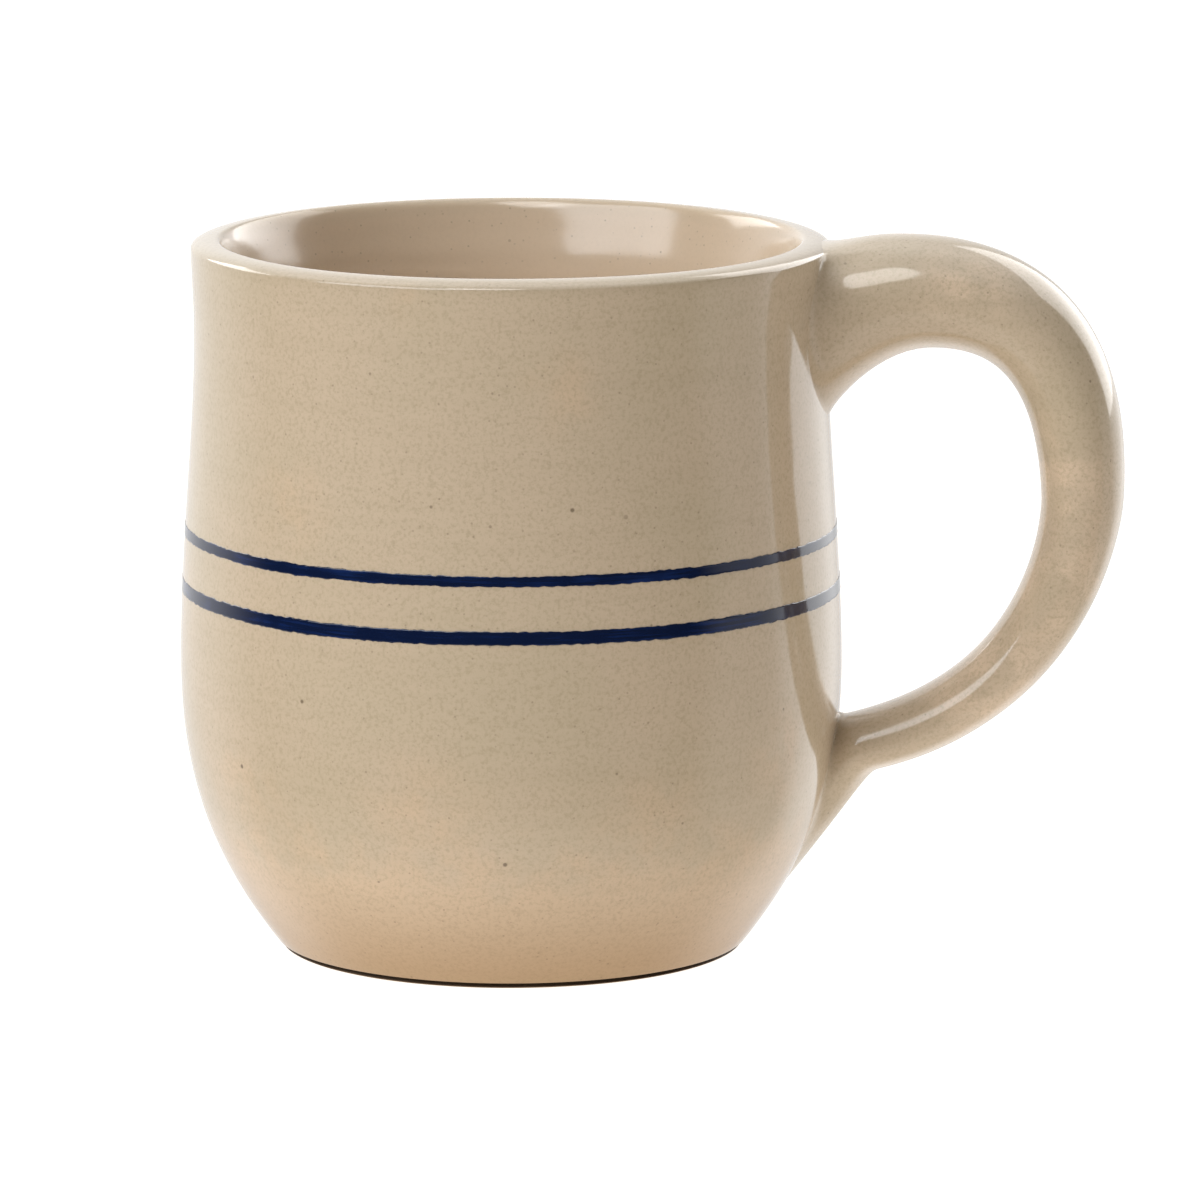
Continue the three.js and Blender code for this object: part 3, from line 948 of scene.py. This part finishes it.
def brush_band(settings, name, node, height, width):
    """One brushed line, let into the coat, with edges that stray"""
    wall = settings.wall
    bands = settings.bands
    outline = Track(outside_outline(wall))
    middle = outline.distance_at_height(height)
    face = []
    back = []
    for i in range(BAND_ROWS + 1):
        distance = middle + width * (0.5 - i / BAND_ROWS)
        point = outline.at(distance)
        along = outline.direction(distance)
        normal = Vector((along.y, -along.x))
        face.append(point + normal * bands.proud)
        if i in (0, BAND_ROWS):
            back.append(point - normal * bands.depth)
    section = [back[0]] + face + [back[1], back[0]]
    piece = turn(name, section, bands.segments)
    edge = piece.vertex_groups.new(name="edges")
    low = outline.at(middle - width / 2).y
    high = outline.at(middle + width / 2).y
    for vertex in piece.data.vertices:
        share = abs(2 * (vertex.co.z - low) / (high - low) - 1)
        edge.add([vertex.index], min(1, share) ** 2, "REPLACE")
    dip(piece, wall.unevenness, WALL_SWELL)
    apply_modifier(
        piece, "DISPLACE", texture=cloud(name + "_rag", RAG_SIZE, 2), texture_coords="LOCAL",
        direction="Z", strength=bands.rag, vertex_group="edges",
    )
    apply_modifier(
        piece, "DISPLACE", texture=cloud(name + "_wander", WANDER_SIZE), texture_coords="LOCAL",
        direction="Z", strength=bands.wander,
    )
    hand_over(piece, "blue_glaze", blue_glaze(settings, name + "_cobalt"), node)


class MUG_OT_brush_bands(Operator):
    """Brush the two blue bands round the mug"""

    bl_idname = "mug.brush_bands"
    bl_label = "Brush Bands"
    bl_options = {"REGISTER", "UNDO"}

    def execute(self, context):
        settings = context.scene.mug
        bands = settings.bands
        brush_band(settings, "lower_band", "lower_blue_band", bands.lower_height, bands.lower_width)
        upper_height = bands.lower_height + bands.spacing
        brush_band(settings, "upper_band", "upper_blue_band", upper_height, bands.upper_width)
        return {"FINISHED"}


# Stage

FLOOR_SIZE = 8.0
DIM = 0.03

# Glows: degrees right of the camera, elevation, angles at which the glow starts and is full, brightness
GLOWS = {
    "backdrop": (180, 8, 90, 52, 1.0),
    "back_wall": (-150, 28, 44, 20, 0.35),
    "right_window": (133, 2, 33, 15, 0.85),
    "right_table": (92, -14, 26, 12, 0.5),
    "near_table": (0, -90, 68, 40, 0.62),
    "ceiling": (0, 90, 52, 6, 1.0),
}

# Softboxes: degrees right of the camera, elevation, distance, width, height and brightness
SOFTBOXES = {
    "key_left": (-50, 38, 1.0, 0.85, 0.68, 3.85),
    "front_top": (-14, 57, 1.0, 0.38, 0.55, 3.8),
    "back_right": (129, 29, 0.8, 0.71, 0.7, 3.0),
    "back_left": (-127, 32, 0.8, 0.5, 0.26, 4.6),
}

ROUND_LIGHTS = {"front_top"}

# Lights that only show in the gloss are warm, and the one that falls on the mug as well is cool
GLOSS_ONLY = {"front_top", "back_right", "back_left"}
WARM_LIGHT = (0.98, 0.965, 0.945)
COOL_LIGHT = (0.95, 0.985, 1.03)


def bearing(stage, right, elevation):
    """A direction seen from the mug: degrees to the right of the camera and above the table"""
    turn_angle = stage.azimuth + math.radians(right)
    rise = math.radians(elevation)
    flat = Vector((math.sin(turn_angle), -math.cos(turn_angle), 0))
    return flat * math.cos(rise) + Vector((0, 0, math.sin(rise)))


def softbox(name, place, aim, size, radiance):
    """A studio light of an even brightness, which the camera itself doesn't see"""
    light = bpy.data.lights.new(name, "AREA")
    light.shape = "ELLIPSE" if name in ROUND_LIGHTS else "RECTANGLE"
    light.size, light.size_y = size
    light.energy = radiance * math.pi * size[0] * size[1]
    light.color = WARM_LIGHT if name in GLOSS_ONLY else COOL_LIGHT
    lamp = bpy.data.objects.new(name, light)
    lamp.location = place
    lamp.rotation_euler = (aim - place).to_track_quat("-Z", "Y").to_euler()
    lamp.visible_camera = False
    bpy.context.collection.objects.link(lamp)
    return lamp


def pale_floor():
    """White card that is bright by itself near the mug, so that only the deepest shade shows on it"""
    pale = Finish("pale_floor")
    mottle = pale.noise(0.4, detail=2.0)
    shade = pale.mix(pale.ramp(mottle, 0.3, 0.7), (0.13, 0.13, 0.13, 1), (0.14, 0.14, 0.14, 1))
    pale.put(pale.shader.inputs["Base Color"], shade)
    pale.shader.inputs["Roughness"].default_value = 0.8
    pale.shader.inputs["Emission Color"].default_value = (1, 0.945, 0.885, 1)
    aside = pale.math("ABSOLUTE", pale.x)
    away = pale.math("MAXIMUM", aside, pale.math("MULTIPLY", pale.y, -1.0))
    pale.put(pale.shader.inputs["Emission Strength"], pale.ramp(away, 0.18, 0.7, 1.12, 0.3))
    return pale.material


def lay_floor(material):
    """A wide floor, whose mirror image in the glaze is left to the dome"""
    bpy.ops.object.select_all(action="DESELECT")
    bpy.ops.mesh.primitive_plane_add(size=FLOOR_SIZE)
    floor = bpy.context.object
    floor.name = "floor"
    floor.data.materials.append(material)
    floor.visible_glossy = False


def studio_dome(scene, stage):
    """Dim surroundings with soft glows"""
    world = bpy.data.worlds.new("studio_dome")
    world.use_nodes = True
    tree = world.node_tree
    background = tree.nodes["Background"]
    background.inputs["Color"].default_value = (1, 1, 1, 1)
    place = tree.nodes.new("ShaderNodeTexCoord")
    total = None
    for right, elevation, edge, full, brightness in GLOWS.values():
        nearness = tree.nodes.new("ShaderNodeVectorMath")
        nearness.operation = "DOT_PRODUCT"
        nearness.inputs[1].default_value = bearing(stage, right, elevation)
        glow = tree.nodes.new("ShaderNodeMapRange")
        glow.interpolation_type = "SMOOTHSTEP"
        glow.inputs["From Min"].default_value = math.cos(math.radians(edge))
        glow.inputs["From Max"].default_value = math.cos(math.radians(full))
        glow.inputs["To Min"].default_value = 0 if total else DIM
        glow.inputs["To Max"].default_value = brightness
        tree.links.new(place.outputs["Generated"], nearness.inputs[0])
        tree.links.new(nearness.outputs["Value"], glow.inputs["Value"])
        if total:
            both = tree.nodes.new("ShaderNodeMath")
            tree.links.new(total, both.inputs[0])
            tree.links.new(glow.outputs["Result"], both.inputs[1])
            total = both.outputs[0]
        else:
            total = glow.outputs["Result"]
    tree.links.new(total, background.inputs["Strength"])
    scene.world = world


class MUG_OT_set_stage(Operator):
    """Set the pale floor, the soft lights and the camera"""

    bl_idname = "mug.set_stage"
    bl_label = "Set Stage"
    bl_options = {"REGISTER", "UNDO"}

    def execute(self, context):
        settings = context.scene.mug
        stage = settings.stage
        middle = Vector((0, 0, settings.wall.height / 2))
        lay_floor(pale_floor())
        studio_dome(context.scene, stage)
        for name, (right, elevation, distance, width, height, radiance) in SOFTBOXES.items():
            place = bearing(stage, right, elevation) * distance
            lamp = softbox(name, place, middle, (width, height), radiance)
            lamp.visible_diffuse = name not in GLOSS_ONLY

        across = bearing(stage, 90, 0)
        sight = bearing(stage, 0, math.degrees(stage.elevation))
        lift = bearing(stage, 180, 90 - math.degrees(stage.elevation))
        camera = bpy.data.objects.new("camera", bpy.data.cameras.new("camera"))
        camera.data.lens = stage.lens
        camera.data.sensor_width = 36
        camera.data.clip_start = 0.01
        camera.location = middle + sight * stage.distance
        aim = middle + across * stage.aim_right + lift * stage.aim_up
        camera.rotation_euler = (aim - camera.location).to_track_quat("-Z", "Y").to_euler()
        context.collection.objects.link(camera)
        context.scene.camera = camera
        context.scene.view_settings.view_transform = "Standard"
        return {"FINISHED"}


# Panel and registration

class MugSettings(PropertyGroup):
    """All settings of the mug"""

    wall: PointerProperty(type=MugWallSettings)
    handle: PointerProperty(type=MugHandleSettings)
    upper_root: PointerProperty(type=MugUpperRootSettings)
    lower_root: PointerProperty(type=MugLowerRootSettings)
    bands: PointerProperty(type=MugBandSettings)
    finish: PointerProperty(type=MugFinishSettings)
    stage: PointerProperty(type=MugStageSettings)


STEPS = (
    MUG_OT_throw_body,
    MUG_OT_pour_glaze,
    MUG_OT_pull_handle,
    MUG_OT_brush_bands,
    MUG_OT_set_stage,
)


class VIEW3D_PT_mug(Panel):
    """The mug's steps and settings"""

    bl_label = "Stoneware Mug"
    bl_space_type = "VIEW_3D"
    bl_region_type = "UI"
    bl_category = "Mug"

    def draw(self, context):
        for step in STEPS:
            self.layout.operator(step.bl_idname)
        settings = context.scene.mug
        for name in settings.__annotations__:
            group = getattr(settings, name)
            box = self.layout.box()
            for key in group.__annotations__:
                box.prop(group, key)


CLASSES = (
    MugWallSettings,
    MugHandleSettings,
    MugUpperRootSettings,
    MugLowerRootSettings,
    MugBandSettings,
    MugFinishSettings,
    MugStageSettings,
    MugSettings,
    *STEPS,
    VIEW3D_PT_mug,
)


def register():
    for cls in CLASSES:
        bpy.utils.register_class(cls)
    bpy.types.Scene.mug = PointerProperty(type=MugSettings)


def unregister():
    del bpy.types.Scene.mug
    for cls in reversed(CLASSES):
        bpy.utils.unregister_class(cls)


def main():
    register()
    bpy.ops.mug.throw_body()
    bpy.ops.mug.pour_glaze()
    bpy.ops.mug.pull_handle()
    bpy.ops.mug.brush_bands()
    bpy.ops.mug.set_stage()


if __name__ == "__main__":
    main()
